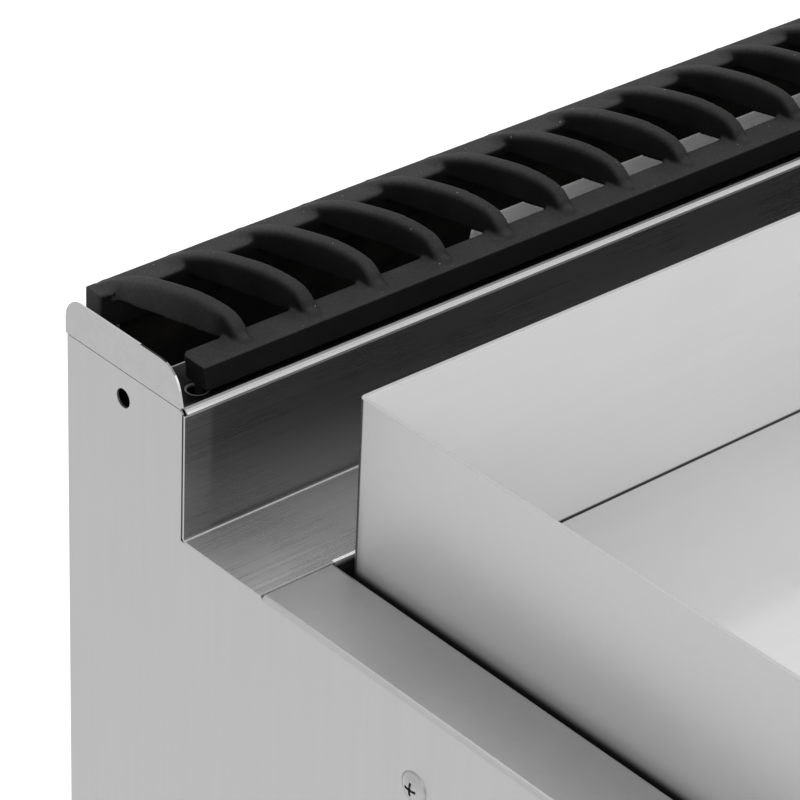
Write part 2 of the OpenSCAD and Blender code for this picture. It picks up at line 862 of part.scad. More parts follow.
module burner_rails() color(satin) {
    x = fire_x - fire_t;
    mid = bearer_t / 2;
    z = burner_z - burner_r - mid - seat_gap;
    for (y = [fire_front + rail_front_in, fire_rear - rail_rear_in]) along_x(-x, x) folded(
        [[y, z - mid], [y + rail_leg, z - mid], [y + rail_leg, z - rail_leg + fire_t]], bearer_t
    );
}

// Gas train: manifold, valves, supply tubes, injectors and the rear inlet

pipe_r = 10.5;
pipe_wall = 2.5;
valve_w = 32;
valve_h = 36;
valve_l = 38.5;
nipple_l = 3;
nipple_in = 1;
valve_front = y_front + sheet_t + seat_gap;
valve_rear = valve_front + valve_l;
pipe_y = valve_rear + nipple_l + pipe_r - nipple_in;
nipple_r = 7;
pipe_end = 16;
fitting_r = 10.48;
neck_r = 12.4;
fitting_bore = 7;
hex_r = 17;
hex_l = 11;
neck_out = 1;
hex_rear_y = y_back - recess_y - sheet_t - seat_gap - hex_l;

module pipe_run(r, start, end) {
    bar_x(start, inlet_x, pipe_y, knob_z, r);
    bar_z(inlet_x, pipe_y, inlet_z, knob_z, r);
    bar_y(inlet_x, pipe_y, end, inlet_z, r);
    for (z = [inlet_z, knob_z]) translate([inlet_x, pipe_y, z]) sphere(r);
}

module gas_manifold() color(brass) difference() {
    union() {
        pipe_run(pipe_r, -knob_x - pipe_end, hex_rear_y);
        pair() bar_y(-knob_x, valve_rear, pipe_y, knob_z, nipple_r);
    }
    pipe_run(pipe_r - pipe_wall, pipe_wall - knob_x - pipe_end, hex_rear_y + cut);
    pair() bar_y(-knob_x, valve_rear - cut, pipe_y, knob_z, nipple_r - pipe_wall);
}

module inlet_fitting() color(brass) {
    difference() {
        union() {
            hex_y(inlet_x, hex_rear_y, hex_rear_y + hex_l, inlet_z, hex_r);
            bar_y(inlet_x, hex_rear_y + hex_l, y_back - recess_y + neck_out, inlet_z, neck_r);
            bar_y(inlet_x, hex_rear_y + hex_l, y_back - cheek_out, inlet_z, fitting_r);
        }
        bar_y(inlet_x, hex_rear_y - cut, y_back, inlet_z, fitting_bore);
    }
}

cup_r = 7;
cup_l = 6;
cup_in = 1;
spring_room = 15;
spindle_r = 4;
spindle_tail = 34;
valve_bore_l = 37.5;
supply_r = 4;

module gas_valve(x) {
    difference() {
        block(
            [x - valve_w / 2, valve_front, knob_z - valve_h / 2],
            [x + valve_w / 2, valve_rear, knob_z + valve_h / 2]
        );
        bar_y(x, valve_front - cut, valve_front + cup_in + cup_l + spring_room, knob_z, cup_r + run_gap);
        bar_y(x, valve_front, valve_front + valve_bore_l, knob_z, spindle_r + run_gap);
    }
}

module left_gas_valve() color(brass) gas_valve(-knob_x);
module right_gas_valve() color(brass) gas_valve(knob_x);

module spindle(x) {
    front = y_front - knob_out + knob_cap + seat_gap;
    bar_y(x, front, valve_front + spindle_tail - knob_push, knob_z, spindle_r);
}

module left_spindle() color(bright) spindle(-knob_x);
module right_spindle() color(bright) spindle(knob_x);

module spring_cup(x) difference() {
    bar_y(x, valve_front + cup_in, valve_front + cup_in + cup_l, knob_z, cup_r);
    bar_y(x, valve_front, valve_front + cup_in + cup_l + cut, knob_z, spindle_r + run_gap);
}

module left_spring_cup() color(brass) spring_cup(-knob_x);
module right_spring_cup() color(brass) spring_cup(knob_x);

spring_wall = 1;

module sleeve(x, y0, y1, z, r) difference() {
    bar_y(x, y0, y1, z, r);
    bar_y(x, y0 - cut, y1 + cut, z, r - spring_wall);
}

module valve_spring(x) sleeve(x, valve_front + cup_in + cup_l, valve_front + cup_in + cup_l + spring_room,
    knob_z, cup_r - seat_gap);
module left_valve_spring() color(bright) valve_spring(-knob_x);
module right_valve_spring() color(bright) valve_spring(knob_x);

injector_l = 26;
injector_hex = 9;
mouth_y = fire_front - mixer_out;
injector_tip = 8;
supply_y = valve_front + valve_l / 2;

module injectors() color(brass) pair() difference() {
    union() {
        hex_y(-zone_x, mouth_y - injector_l, mouth_y, burner_z, injector_hex);
        bar_y(-zone_x, mouth_y, mouth_y + injector_tip, burner_z, nozzle_r);
    }
    bar_y(-zone_x, mouth_y - injector_l - cut, mouth_y + injector_tip + cut, burner_z, nozzle_r / 2);
}

module supply_tubes() color(copper) pair() {
    low = knob_z - valve_h / 2;
    bar_z(-knob_x, supply_y, burner_z, low, supply_r);
    bar_x(-knob_x, -zone_x, supply_y, burner_z, supply_r);
    bar_y(-zone_x, supply_y, mouth_y - injector_l, burner_z, supply_r);
    for (x = [-knob_x, -zone_x]) translate([x, supply_y, burner_z]) sphere(supply_r);
}

// Knobs and their bezels

bezel_t = 3;
bezel_r = 34;
bezel_hole = 20;
knob_back_gap = 4;
skirt_h = 11;
knob_cap = 6;
grip_w = 15;
grip_l = 50;
grip_r = 20;
grip_edge_r = 5;
grip_proud = 2;

module knob_bezels() color(bright) pair() difference() {
    bar_y(-knob_x, y_front - bezel_t, y_front, knob_z, bezel_r);
    bar_y(-knob_x, y_front - bezel_t - cut, y_front + cut, knob_z, bezel_hole);
}

module knob(x) {
    front = y_front - knob_out;
    back = y_front - bezel_t - knob_back_gap;
    difference() {
        union() {
            bar_y(x, back - skirt_h, back, knob_z, knob_r);
            bar_y(x, front + grip_proud, back, knob_z, grip_r);
            along_y(front, back - skirt_h) round_rect(
                [x - grip_w / 2, knob_z - grip_l / 2], [x + grip_w / 2, knob_z + grip_l / 2], grip_edge_r
            );
        }
        bar_y(x, front + knob_cap, back + cut, knob_z, spindle_r);
    }
}

module left_knob() color(black) knob(-knob_x);
module right_knob() color(black) knob(knob_x);

// Push-button igniter with its nut, spring, electrodes and leads

collar_r = 12.5;
collar_h = 2;
igniter_l = 58;
plunger_r = 6;
cap_r = 8.5;
button_cap = 3;
igniter_nut_h = 4;
nut_over = 1;
button_rest = 1;
spring_slack = 0.5;
plunger_l = 20;
button_spring = 22;

module igniter_body() color(black) difference() {
    union() {
        bar_y(0, y_front - collar_h, y_front, igniter_z, collar_r);
        bar_y(0, y_front, y_front + igniter_l, igniter_z, igniter_r);
    }
    bar_y(0, y_front - collar_h - cut, y_front + plunger_l + button_spring, igniter_z, plunger_r + run_gap);
}

module igniter_nut() color(bright) difference() {
    hex_y(0, y_front + sheet_t, y_front + sheet_t + igniter_nut_h, igniter_z, collar_r + nut_over);
    bar_y(0, y_front, y_front + sheet_t + igniter_nut_h + cut, igniter_z, igniter_r);
}

module igniter_button() color(black) {
    cap_back = y_front - collar_h - button_push - button_rest;
    bar_y(0, cap_back - button_cap, cap_back, igniter_z, cap_r);
    bar_y(0, cap_back, y_front + plunger_l - button_push, igniter_z, plunger_r);
}

module igniter_spring() color(bright) {
    start = y_front + plunger_l;
    sleeve(0, start - button_push, start + button_spring, igniter_z, plunger_r - spring_slack);
}

ceramic_out = 15;
ceramic_in = 14;
ceramic_collar_r = 6;
ceramic_collar_l = 10;
tip_r = 1;
tip_l = 12;
lead_r = 1.5;
lead_x = 5;
lead_y = y_front + igniter_l + 7;

module electrodes() color(ceramic) pair() {
    z = burner_z + electrode_rise;
    bar_y(-electrode_x, fire_front - ceramic_out, fire_front + ceramic_in, z, electrode_r);
    bar_y(-electrode_x, fire_front - ceramic_collar_l, fire_front, z, ceramic_collar_r);
    bar_y(-electrode_x, fire_front + ceramic_in, fire_front + ceramic_in + tip_l, z, tip_r);
}

module ignition_leads() color(black) pair() {
    z = burner_z + electrode_rise;
    bar_y(-lead_x, y_front + igniter_l, lead_y, igniter_z, lead_r);
    bar_x(-electrode_x, -lead_x, lead_y, igniter_z, lead_r);
    bar_z(-electrode_x, lead_y, min(z, igniter_z), max(z, igniter_z), lead_r);
    bar_y(-electrode_x, lead_y, fire_front - ceramic_out, z, lead_r);
    translate([-lead_x, lead_y, igniter_z]) sphere(lead_r);
    for (end = [z, igniter_z]) translate([-electrode_x, lead_y, end]) sphere(lead_r);
}

probe_out = 20;
probe_in = 30;
probe_nut_r = 6;
probe_nut_l = 9;
capillary_r = 1;
capillary_drop = 8;
tap_share = 0.7;

module thermocouples() color(copper) pair() {
    z = burner_z + probe_rise;
    y = valve_front + valve_l * tap_share;
    end_z = knob_z - capillary_drop;
    bar_y(-probe_x, fire_front - probe_out, fire_front + probe_in, z, probe_r);
    hex_y(-probe_x, fire_front - probe_nut_l, fire_front, z, probe_nut_r);
    bar_y(-probe_x, y, fire_front - probe_out, z, capillary_r);
    bar_z(-probe_x, y, z, end_z, capillary_r);
    bar_x(valve_w / 2 - knob_x, -probe_x, y, end_z, capillary_r);
    for (end = [z, end_z]) translate([-probe_x, y, end]) sphere(capillary_r);
}

// Grease drawer, its handle and its runners

module grease_drawer() color(bright) {
    x = drawer_w / 2;
    rear = y_front + drawer_l;
    difference() {
        block([-x, y_front, drawer_bot], [x, rear, drawer_bot + drawer_h]);
        block([sheet_t - x, y_front + sheet_t, drawer_bot + sheet_t],
            [x - sheet_t, rear - sheet_t, drawer_bot + drawer_h + cut]);
    }
    block([-drawer_face_x, y_front, drawer_face_low], [drawer_face_x, y_front + sheet_t, drawer_face_high]);
}

drawer_handle_l = 110;
drawer_handle_out = 28;
drawer_handle_r = 5;
drawer_post_r = 4;

module drawer_handle() color(bright) {
    x = drawer_handle_l / 2;
    y = y_front - drawer_handle_out;
    z = (drawer_face_low + drawer_face_high) / 2;
    bar_x(-x, x, y, z, drawer_handle_r);
    for (side = [-1, 1]) bar_y(side * (x - 2 * drawer_handle_r), y, y_front, z, drawer_post_r);
}

runner_foot = 16;
runner_ledge = 15;
runner_gap = 3;

module drawer_runners() color(satin) pair() {
    mid = sheet_t / 2;
    x = drawer_w / 2 + runner_gap + mid;
    along_y(y_front + panel_return + door_gap, y_front + drawer_l + runner_foot) folded([
        [-x - runner_foot, shield_top + mid], [-x, shield_top + mid],
        [-x, shield_top + runner_h - mid], [runner_ledge - x, shield_top + runner_h - mid]
    ], sheet_t);
}

// Doors, hinge pins, brackets and magnetic catches

door_side = 1;
bracket_t = 3;
door_bot = base_top + bracket_t + seat_gap;
hinge_in = 9;
hinge_x = half_w - hinge_in;
hinge_y = y_front + door_t / 2;
collar_over = 2;
collar_l = 4;
drain_r = 3;
drain_share = 0.25;

module left_leaf() {
    x0 = door_side - half_w;
    x1 = -door_side;
    difference() {
        block([x0, y_front, door_bot], [x1, y_front + door_t, door_top]);
        block([x0 + sheet_t, y_front + sheet_t, door_bot + sheet_t],
            [x1 - sheet_t, y_front + door_t - sheet_t, door_top - sheet_t]);
        bar_z(-hinge_x, hinge_y, door_bot - cut, door_top + cut, pin_r);
        for (share = [drain_share, 1 - drain_share])
            bar_z(x0 + (x1 - x0) * share, hinge_y, door_bot - cut, door_bot + sheet_t + cut, drain_r);
    }
}

module left_door() color(satin) left_leaf();
module right_door() color(satin) mirror([1, 0, 0]) left_leaf();

handle_out = 28;
handle_r = 6;
handle_in = 30;
handle_drop = 40;
post_r = 5;
post_in = 18;

module left_bar() {
    x = -handle_in;
    high = door_top - handle_drop;
    low = high - handle_l;
    y = y_front - handle_out;
    bar_z(x, y, low, high, handle_r);
    for (z = [low + post_in, high - post_in]) bar_y(x, y, y_front, z, post_r);
}

module left_door_handle() color(bright) left_bar();
module right_door_handle() color(bright) mirror([1, 0, 0]) left_bar();

module left_pins() {
    top = door_top + seat_gap + bracket_t;
    bar_z(-hinge_x, hinge_y, base_top + seat_gap / 2, door_bot + sheet_t + collar_l, pin_r);
    bar_z(-hinge_x, hinge_y, door_bot + sheet_t, door_bot + sheet_t + collar_l, pin_r + collar_over);
    bar_z(-hinge_x, hinge_y, door_top - sheet_t - collar_l, top, pin_r);
    bar_z(-hinge_x, hinge_y, door_top - sheet_t - collar_l, door_top - sheet_t, pin_r + collar_over);
}

module left_hinge_pins() color(bright) left_pins();
module right_hinge_pins() color(bright) mirror([1, 0, 0]) left_pins();

bracket_w = 20;
bracket_leg = 30;
bracket_back = 1;

module hinge_brackets() color(bright) pair() difference() {
    x0 = -inner_x + seat_gap;
    x1 = x0 + bracket_w;
    top_low = door_top + seat_gap;
    union() {
        block([x0, y_front + bracket_back, base_top], [x1, side_front - seat_gap, base_top + bracket_t]);
        block([x0, y_front + bracket_back, top_low], [x1, side_front, top_low + bracket_t]);
        block([x0, side_front - bracket_t, top_low], [x1, side_front, top_low + bracket_leg]);
    }
    bar_z(-hinge_x, hinge_y, base_top - cut, top_low + bracket_t + cut, pin_r + run_gap);
}

catch_w = 30;
catch_l = 28;
catch_in = 12;

module door_catches() color(black) pair() {
    block(
        [-catch_in - catch_w, y_front + door_t + seat_gap, shield_top],
        [-catch_in, y_front + door_t + seat_gap + catch_l, door_top - seat_gap]
    );
}

// Leg sockets and adjustable feet

socket_plate = 56;
socket_plate_t = 4;
socket_wall = 2.5;
socket_low = 80;
foot_in = 30;
foot_y_in = 60;
pad_t = 10;
pad_edge = 2;
foot_top_gap = 3;
foot_top = leg_h - socket_plate_t - foot_travel - foot_top_gap;

module at_corner(sx, sy) {
    mid_y = (side_front + y_back) / 2;
    reach = (y_back - side_front) / 2 - foot_y_in;
    translate([sx * (half_w - foot_in), mid_y + sy * reach, 0]) children();
}

module leg_sockets() color(satin) for (sx = [-1, 1]) for (sy = [-1, 1]) at_corner(sx, sy) difference() {
    union() {
        translate([0, 0, leg_h - socket_plate_t / 2])
            cube([socket_plate, socket_plate, socket_plate_t], center = true);
        bar_z(0, 0, leg_h - socket_low, leg_h, foot_r + run_gap + socket_wall);
    }
    bar_z(0, 0, leg_h - socket_low - cut, leg_h - socket_plate_t, foot_r + run_gap);
}

module foot() {
    rotate_extrude() polygon([
        [0, 0], [pad_r - pad_edge, 0], [pad_r, pad_edge], [pad_r, pad_t - pad_edge],
        [foot_r + pad_edge, pad_t], [foot_r, pad_t + pad_edge], [0, pad_t + pad_edge]
    ]);
    bar_z(0, 0, pad_t, foot_top, foot_r);
}

module front_left_foot() color(bright) at_corner(-1, -1) foot();
module front_right_foot() color(bright) at_corner(1, -1) foot();
module rear_left_foot() color(bright) at_corner(-1, 1) foot();
module rear_right_foot() color(bright) at_corner(1, 1) foot();

left_side_panel();
right_side_panel();
base_panel();
back_panel();
rear_cover();
flue_top();
front_worktop();
control_panel();
heat_shield();
plate_bearers();
firebox();
griddle_plate();
splash_guard();
grease_trough();
flue_duct();
flue_deflector();
flue_grille();
left_burner();
right_burner();
burner_rails();
injectors();
supply_tubes();
left_gas_valve();
right_gas_valve();
gas_manifold();
inlet_fitting();
left_spindle();
right_spindle();
left_knob();
right_knob();
left_spring_cup();
right_spring_cup();
left_valve_spring();
right_valve_spring();
knob_bezels();
igniter_body();
igniter_nut();
igniter_button();
igniter_spring();
electrodes();
ignition_leads();
thermocouples();
grease_drawer();
drawer_handle();
drawer_runners();
left_door();
right_door();
left_door_handle();
right_door_handle();
left_hinge_pins();
right_hinge_pins();
hinge_brackets();
door_catches();
leg_sockets();
front_left_foot();
front_right_foot();
rear_left_foot();
rear_right_foot();
side_screws();
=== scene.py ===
"""A gas griddle station: materials, rounding, fine detail, studio and camera round the CAD frame.

Metres. X runs to the right, the front faces -Y, Z is up, and the floor is at zero.
"""

import json
import math

import bmesh
import bpy
from mathutils import Matrix, Vector


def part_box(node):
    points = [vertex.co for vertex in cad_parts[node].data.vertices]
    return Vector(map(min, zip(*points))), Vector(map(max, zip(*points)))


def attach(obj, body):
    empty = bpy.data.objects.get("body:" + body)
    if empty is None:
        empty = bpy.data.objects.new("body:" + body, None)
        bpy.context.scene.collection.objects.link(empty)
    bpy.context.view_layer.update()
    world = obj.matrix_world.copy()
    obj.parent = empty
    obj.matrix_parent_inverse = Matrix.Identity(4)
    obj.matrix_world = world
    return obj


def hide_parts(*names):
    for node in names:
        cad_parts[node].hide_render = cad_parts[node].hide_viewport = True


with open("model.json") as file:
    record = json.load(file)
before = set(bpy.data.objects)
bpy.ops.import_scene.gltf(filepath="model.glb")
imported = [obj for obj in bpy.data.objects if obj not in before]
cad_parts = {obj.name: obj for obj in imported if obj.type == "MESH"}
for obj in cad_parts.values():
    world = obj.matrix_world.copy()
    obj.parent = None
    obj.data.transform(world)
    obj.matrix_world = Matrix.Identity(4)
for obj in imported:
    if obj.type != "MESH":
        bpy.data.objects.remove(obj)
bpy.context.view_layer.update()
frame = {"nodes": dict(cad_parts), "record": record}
nodes = frame["nodes"]
mm = 0.001

# The photograph's camera, in the row frame. Azimuth 0 looks along +Y and grows towards -X.
CAMERA_AZIMUTH = -42.49
CAMERA_ELEVATION = 31.65
CAMERA_ROLL = 2.703
CAMERA_LENS = 164.9
CAMERA_SENSOR = 36
CAMERA_CLIP = 0.05, 50
CAMERA_PLACE = Vector((-1190.7, -702.9, 1704.1)) * mm

# Levels and planes that the materials and pieces need, read from the frame
panel_low, panel_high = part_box("left_side_panel")
worktop_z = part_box("front_worktop")[1].z
plate_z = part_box("griddle_plate")[1].z
guard_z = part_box("splash_guard")[1].z
guard_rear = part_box("splash_guard")[1].y
strip_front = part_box("flue_top")[0].y
top_sheet = 1 * mm
shelf_z = panel_high.z + top_sheet
half_w = -panel_low.x
rear_y = panel_high.y

# The flue top: its upright wall, the front edge of its opening, and the peg holes, which are
# measured from the side and the rear edge
flue_front = rear_y - 80 * mm
opening_front = rear_y - 49 * mm
peg_in = 14.5 * mm
peg_back = 69.6 * mm
peg_hole_r = 4.5 * mm


# Shaders. A span of two numbers, such as these first two, is where a smooth step begins and ends;
# the rest are the sockets of a colour mix.
USUAL_NOISE = 0.3, 0.7
SIDEWAYS = 0.5, 0.7
MIX_FIRST, MIX_SECOND, MIX_RESULT = 6, 7, 2


def grey(value):
    """A grey level, or a colour, with its alpha."""
    if isinstance(value, (int, float)):
        return (value, value, value, 1)
    return (*value, 1)


def is_output(value):
    return hasattr(value, "is_output")


class Shader:
    """A principled material with short calls for its nodes."""

    def __init__(self, name, colour, metallic, rough):
        self.material = bpy.data.materials.new(name)
        self.material.use_nodes = True
        self.tree = self.material.node_tree
        self.surface = self.tree.nodes["Principled BSDF"]
        self.place = self.add("ShaderNodeTexCoord").outputs["Object"]
        self.set("Base Color", grey(colour))
        self.set("Metallic", metallic)
        self.set("Roughness", rough)

    def add(self, kind, **values):
        node = self.tree.nodes.new(kind)
        for key, value in values.items():
            setattr(node, key, value)
        return node

    def link(self, source, target):
        self.tree.links.new(source, target)

    def feed(self, value, target):
        """Links an output to a socket, or sets a plain value there."""
        if is_output(value):
            self.link(value, target)
        else:
            target.default_value = value

    def set(self, socket, value):
        self.feed(value, self.surface.inputs[socket])

    def maths(self, operation, first, second=0):
        node = self.add("ShaderNodeMath", operation=operation)
        self.feed(first, node.inputs[0])
        self.feed(second, node.inputs[1])
        return node.outputs[0]

    def total(self, *values):
        result = values[0]
        for value in values[1:]:
            result = self.maths("ADD", result, value)
        return result

    def both(self, first, second):
        return self.maths("MULTIPLY", first, second)

    def part(self, vector, axis):
        """One coordinate of a vector."""
        node = self.add("ShaderNodeSeparateXYZ")
        self.link(vector, node.inputs[0])
        return node.outputs[axis]

    def at(self, axis):
        """One coordinate of the place."""
        return self.part(self.place, axis)

    def facing(self, axis):
        """How far the surface faces along one axis, with its sign."""
        return self.part(self.add("ShaderNodeTexCoord").outputs["Normal"], axis)

    def facing_either(self, axis):
        """How far the surface faces along one axis, either way."""
        return self.maths("ABSOLUTE", self.facing(axis))

    def from_middle(self):
        """How far a point is from the middle, to either side."""
        return self.maths("ABSOLUTE", self.at("X"))

    def distance(self, centre):
        """How far a point is from an upright line, which is mirrored in X."""
        squares = []
        for side, middle in zip((self.from_middle(), self.at("Y")), centre):
            off = self.maths("SUBTRACT", side, middle)
            squares.append(self.both(off, off))
        return self.maths("SQRT", self.total(*squares))

    def noise(self, per_metre, detail=3, rough=0.5):
        """Noise with so many cells a metre along X, Y and Z, or along all three."""
        if isinstance(per_metre, int):
            per_metre = [per_metre] * 3
        stretch = self.add("ShaderNodeMapping")
        stretch.inputs["Scale"].default_value = per_metre
        self.link(self.place, stretch.inputs["Vector"])
        node = self.add("ShaderNodeTexNoise")
        node.inputs["Scale"].default_value = 1
        node.inputs["Detail"].default_value = detail
        node.inputs["Roughness"].default_value = rough
        self.link(stretch.outputs[0], node.inputs["Vector"])
        return node.outputs["Fac"]

    def ramp(self, value, span, result=(0.0, 1.0)):
        """A smooth step over a span of values, from one result to another."""
        node = self.add("ShaderNodeMapRange", interpolation_type="SMOOTHSTEP")
        self.link(value, node.inputs["Value"])
        sockets = "From Min", "From Max", "To Min", "To Max"
        for socket, number in zip(sockets, (*span, *result)):
            node.inputs[socket].default_value = number
        return node.outputs[0]

    def spread(self, noise, low, high):
        """Noise whose usual values are stretched to others."""
        return self.ramp(noise, USUAL_NOISE, (low, high))

    def blend(self, factor, first, second):
        """One colour or grey fading to another."""
        node = self.add("ShaderNodeMix", data_type="RGBA")
        self.link(factor, node.inputs[0])
        for index, value in ((MIX_FIRST, first), (MIX_SECOND, second)):
            self.feed(value if is_output(value) else grey(value), node.inputs[index])
        return node.outputs[MIX_RESULT]

    def scaled(self, colour, tone):
        """A colour brightened and darkened by a tone."""
        node = self.add("ShaderNodeVectorMath", operation="SCALE")
        self.feed(colour if is_output(colour) else grey(colour)[:3], node.inputs[0])
        self.link(tone, node.inputs["Scale"])
        return node.outputs[0]

    def bump(self, height, strength, depth):
        node = self.add("ShaderNodeBump")
        node.inputs["Strength"].default_value = strength
        node.inputs["Distance"].default_value = depth
        self.link(height, node.inputs["Height"])
        self.set("Normal", node.outputs[0])


def brushed(name, colour, rough, metallic, grain, contrast, smudge, relief=0.12):
    """Satin sheet with fine brushed grain along one axis, and faint cloudy handling marks."""
    fine, along, broad, cloudy = 1400, 9, 200, 5
    grain_rough, grain_depth = 0.03, 0.02 * mm
    smudged, smudge_rough = (0.35, 0.65), (-0.04, 0.05)
    shader = Shader(name, colour, metallic, rough)
    hair = shader.noise([along if axis == grain else fine for axis in "XYZ"], detail=4, rough=0.6)
    streak = shader.noise([along if axis == grain else broad for axis in "XYZ"])
    cloud = shader.noise(cloudy, detail=4, rough=0.6)
    shader.tone = shader.total(
        shader.spread(hair, 1 - contrast, 1 + contrast),
        shader.spread(streak, -contrast / 2, contrast / 2),
        shader.spread(cloud, -smudge, smudge),
    )
    shader.set("Base Color", shader.scaled(colour, shader.tone))
    shader.set("Roughness", shader.total(
        shader.ramp(cloud, smudged, smudge_rough),
        shader.spread(hair, rough - grain_rough, rough + grain_rough),
    ))
    shader.bump(hair, relief, grain_depth)
    return shader


def repaint(shader, colour):
    """Gives a brushed sheet a colour that changes from place to place."""
    shader.set("Base Color", shader.scaled(colour, shader.tone))
    return shader.material


def satin_steel():
    """Satin outer sheet, whose flat tops beside the plate are painted darker than its upright
    faces, as painted shade.
    """
    upright, top = 0.425, 0.36
    level, beside_plate = (0.8, 0.98), (worktop_z - 4 * mm, worktop_z - 2 * mm)
    shader = brushed("satin_steel", upright, rough=0.38, metallic=0.85, grain="Z",
                     contrast=0.02, smudge=0.03)
    # Painted shade: level faces at the worktop's height take the darker top tone.
    top_painted_shading = shader.both(shader.ramp(shader.facing("Z"), level),
                         shader.ramp(shader.at("Z"), beside_plate))
    return repaint(shader, shader.blend(top_painted_shading, upright, top))


def guard_steel():
    """Pale satin guard, with painted shade behind the worktop's edge and low in its rear corner,
    and dark along its joint with the plate. Its inner face, outer face and top edge take separate
    tones, changing with height, as painted light and shade.
    """
    outer_low, outer_high, inner_low, inner_high, edge = 0.53, 0.5, 0.73, 0.82, 0.4
    gap_painted_shade, corner_painted_shade, line_dark, joint_dark = 0.03, 0.2, 0.08, 0.1
    gap = worktop_z - 4.5 * mm, worktop_z + 0.5 * mm
    joint = plate_z + 0.5 * mm, plate_z + 1.3 * mm
    corner, corner_height = (guard_rear - 8 * mm, guard_rear), (worktop_z, worktop_z + 50 * mm)
    line = guard_rear - 3.6 * mm, guard_rear - 2.8 * mm
    upward, outward = (0.3, 0.7), (-0.05, 0.05)
    shader = brushed("guard_steel", outer_high, rough=0.42, metallic=0.6, grain="X",
                     contrast=0.012, smudge=0.02)
    height, back = shader.at("Z"), shader.at("Y")
    outer = shader.blend(shader.ramp(height, (worktop_z, guard_z)), outer_low, outer_high)
    # Painted shade low in the rear corner, near the guard's foot.
    in_corner = shader.both(shader.ramp(back, corner), shader.ramp(height, corner_height, (1, 0)))
    outer = shader.blend(in_corner, outer, corner_painted_shade)
    on_line = shader.both(shader.ramp(back, line),
                          shader.ramp(shader.facing_either("X"), SIDEWAYS))
    outer = shader.blend(on_line, outer, line_dark)
    # Painted shade on the outer face behind the worktop's edge, where the gap lets little light in.
    outer = shader.blend(shader.ramp(height, gap), gap_painted_shade, outer)
    inner = shader.blend(shader.ramp(height, (plate_z, guard_z)), inner_low, inner_high)
    inner = shader.blend(shader.ramp(height, joint), joint_dark, inner)
    away = shader.total(shader.both(shader.at("X"), shader.facing("X")),
                        shader.both(back, shader.facing("Y")))
    # Painted light and shade: the inner face takes a lighter tone than the outer face, though both
    # are the same sheet.
    walls = shader.blend(shader.ramp(away, outward), inner, outer)
    return repaint(shader, shader.blend(shader.ramp(shader.facing("Z"), upward), walls, edge))


def flue_steel():
    """The flue sheet, given tones by place as painted light: a painted dark reflection on the wall,
    a streaked strip, painted shade on the shelf, painted highlights along the edges of the opening
    and the peg holes, painted highlight and shade in the pale bends, and a paler tone painted on
    the cheeks.
    """
    # Painted light on one sheet: the wall tones are a painted dark reflection, the shelf tone a
    # painted shade, the rim tone a painted highlight and the bend tones a painted highlight and
    # shade. The strip and its dark joint are the sheet's own tones.
    wall_high, wall_foot, wall_dark, wall_end = 0.12, 0.2, 0.11, 0.19
    shelf, strip, joint, cheek, rim = 0.015, 0.66, 0.25, 0.385, 0.45
    shelf_bend, shelf_bend_low, foot_bend, strip_bend = 0.12, 1.0, 0.3, 0.45
    wall_z, foot_z = (worktop_z, shelf_z - 20 * mm), (worktop_z + 1 * mm, worktop_z + 5 * mm)
    shelf_level = shelf_z - 8 * mm, shelf_z - 7 * mm
    wall_ends = half_w - 16 * mm, half_w - 12 * mm
    opening_edge = opening_front - 0.9 * mm, opening_front - 0.6 * mm
    hole_edge = peg_hole_r + 0.9 * mm, peg_hole_r + 0.6 * mm
    joint_y = strip_front + 0.3 * mm, strip_front + 0.7 * mm
    before_wall = flue_front - 6 * mm, flue_front - 5 * mm
    on_wall, low_in_bend = (0.95, 0.998), (0.55, 0.9)
    bend_upright, bend_level = (0.1, 0.4), (0.08, 0.24)
    shader = brushed("flue_steel", strip, rough=0.26, metallic=0.85, grain="X",
                     contrast=0.045, smudge=0.05, relief=0.01)
    height, back = shader.at("Z"), shader.at("Y")
    upright, level = shader.facing_either("Y"), shader.facing_either("Z")
    high_up = shader.ramp(height, shelf_level)
    # The wall's painted dark reflection changes with height and is paler at the wall's ends.
    wall = shader.blend(shader.ramp(height, wall_z), wall_foot, wall_high)
    wall = shader.blend(shader.ramp(height, foot_z), wall_dark, wall)
    wall = shader.blend(shader.ramp(shader.from_middle(), wall_ends), wall, wall_end)
    hole = shader.distance((half_w - peg_in, rear_y - peg_back))
    edges = shader.maths("MAXIMUM", shader.ramp(back, opening_edge), shader.ramp(hole, hole_edge))
    flat = shader.blend(
        high_up,
        shader.blend(shader.ramp(back, joint_y), joint, strip),
        shader.blend(edges, shelf, rim),
    )
    colour = shader.blend(shader.ramp(upright, on_wall), flat, wall)
    # Painted highlight and shade in the bends.
    bend = shader.blend(
        high_up,
        shader.blend(shader.ramp(back, before_wall), strip_bend, foot_bend),
        shader.blend(shader.ramp(upright, low_in_bend), shelf_bend, shelf_bend_low),
    )
    in_bend = shader.both(shader.ramp(upright, bend_upright), shader.ramp(level, bend_level))
    colour = shader.blend(in_bend, colour, bend)
    # The sideways faces, such as the cheeks, take a tone of their own: painted light.
    on_cheek = shader.ramp(shader.facing_either("X"), SIDEWAYS)
    return repaint(shader, shader.blend(on_cheek, colour, cheek))


def deflector_steel():
    """The pale sheet inside the flue, with painted shade on its up-facing edge."""
    face, edge, upward = 0.95, 0.35, (0.9, 0.98)
    shader = brushed("deflector_steel", face, rough=0.5, metallic=0.0, grain="X",
                     contrast=0.05, smudge=0.12)
    # Painted shade: up-facing faces take the darker edge tone.
    return repaint(shader, shader.blend(shader.ramp(shader.facing("Z"), upward), face, edge))


def screw_steel():
    """Plated screws, with painted shade round the rim and in the recess, where the surface turns
    away from the side.
    """
    head, rim, outward = 0.4, 0.08, (0.55, 0.85)
    shader = brushed("screw_steel", head, rough=0.32, metallic=0.85, grain="Z",
                     contrast=0.03, smudge=0.06)
    # Painted shade: faces turned away from the side take the dark rim tone.
    return repaint(shader, shader.blend(shader.ramp(shader.facing_either("X"), outward), rim, head))


